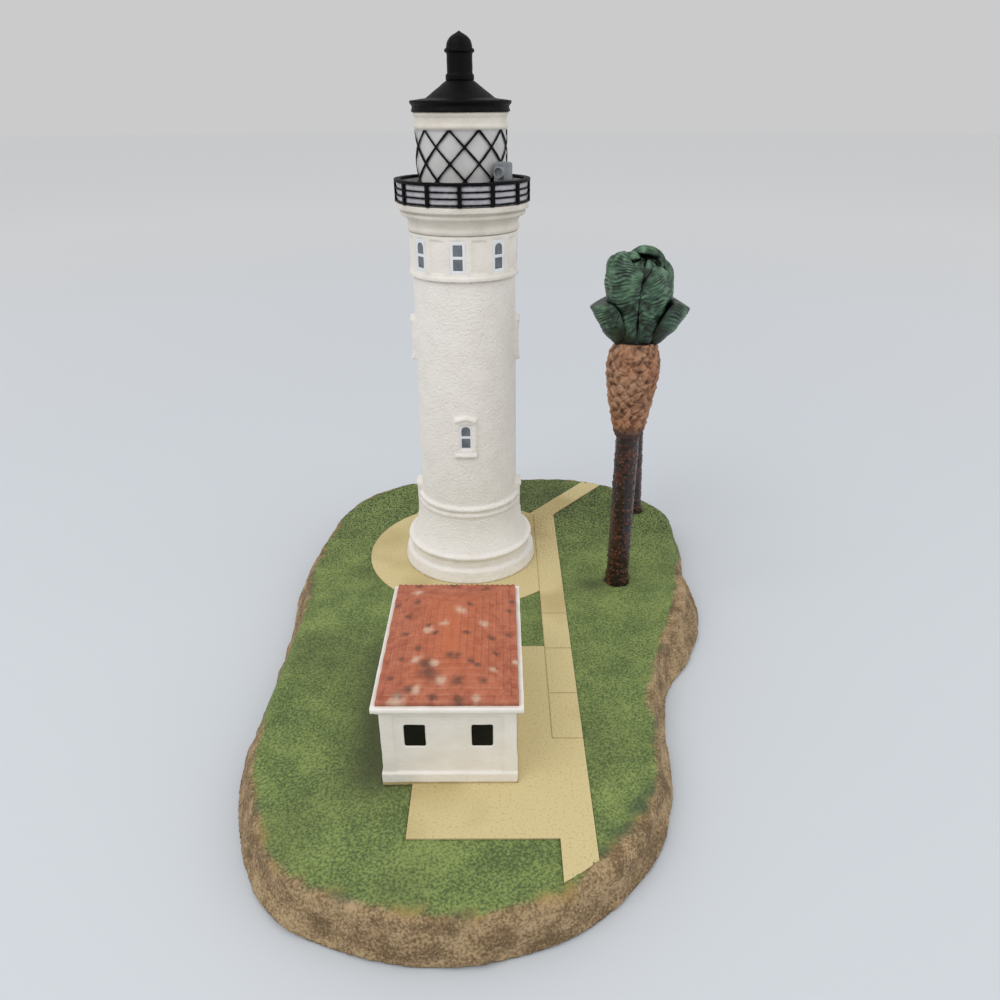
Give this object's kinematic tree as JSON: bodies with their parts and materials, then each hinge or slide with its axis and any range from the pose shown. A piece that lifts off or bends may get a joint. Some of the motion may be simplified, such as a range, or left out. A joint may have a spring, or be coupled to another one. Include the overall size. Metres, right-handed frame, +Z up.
{
  "type": "lighthouse figurine",
  "caption": "Cast-resin lighthouse ornament: white tower with a railed gallery and latticed lantern, tiled keeper's house and palms on a rocky lawn base with a felt underside.",
  "frame": {"origin": "on the table, under the middle of the base", "axes": "+Z up, +Y from the house end towards the tower end, +X to the right as the house is faced"},
  "size_m": [0.146, 0.224, 0.1852],
  "materials": {
    "lawn_paint": "hand-painted stippled cast resin",
    "green_felt": "pressed wool felt",
    "white_paint": "matt painted cast resin",
    "grey_paint": "matt painted cast resin",
    "black_paint": "satin painted cast resin",
    "signal_grey": "satin painted cast resin",
    "tile_red": "dry-brushed cast resin",
    "trunk_brown": "gloss painted cast resin",
    "boot_tan": "dry-brushed cast resin",
    "frond_green": "satin painted cast resin",
    "pin_steel": "drawn wire"
  },
  "bodies": {
    "root": {"base_casting": "lawn_paint", "felt_pad": "green_felt", "tower_shaft": "white_paint", "watch_room": "white_paint", "gallery_cornice": "white_paint", "gallery_parapet": "grey_paint", "gallery_railing": "black_paint", "lantern_drum": "white_paint", "lantern_lattice": "black_paint", "lantern_roof": "black_paint", "roof_vent": "black_paint", "fog_signal": "signal_grey", "house_walls": "white_paint", "house_cornice": "white_paint", "house_roof": "tile_red", "palm_trunk_front": "trunk_brown", "palm_boot_front": "boot_tan", "palm_crown_front": "frond_green", "palm_pin_front": "pin_steel", "palm_trunk_rear": "trunk_brown", "palm_boot_rear": "boot_tan", "palm_crown_rear": "frond_green", "palm_pin_rear": "pin_steel"}
  },
  "joints": []
}
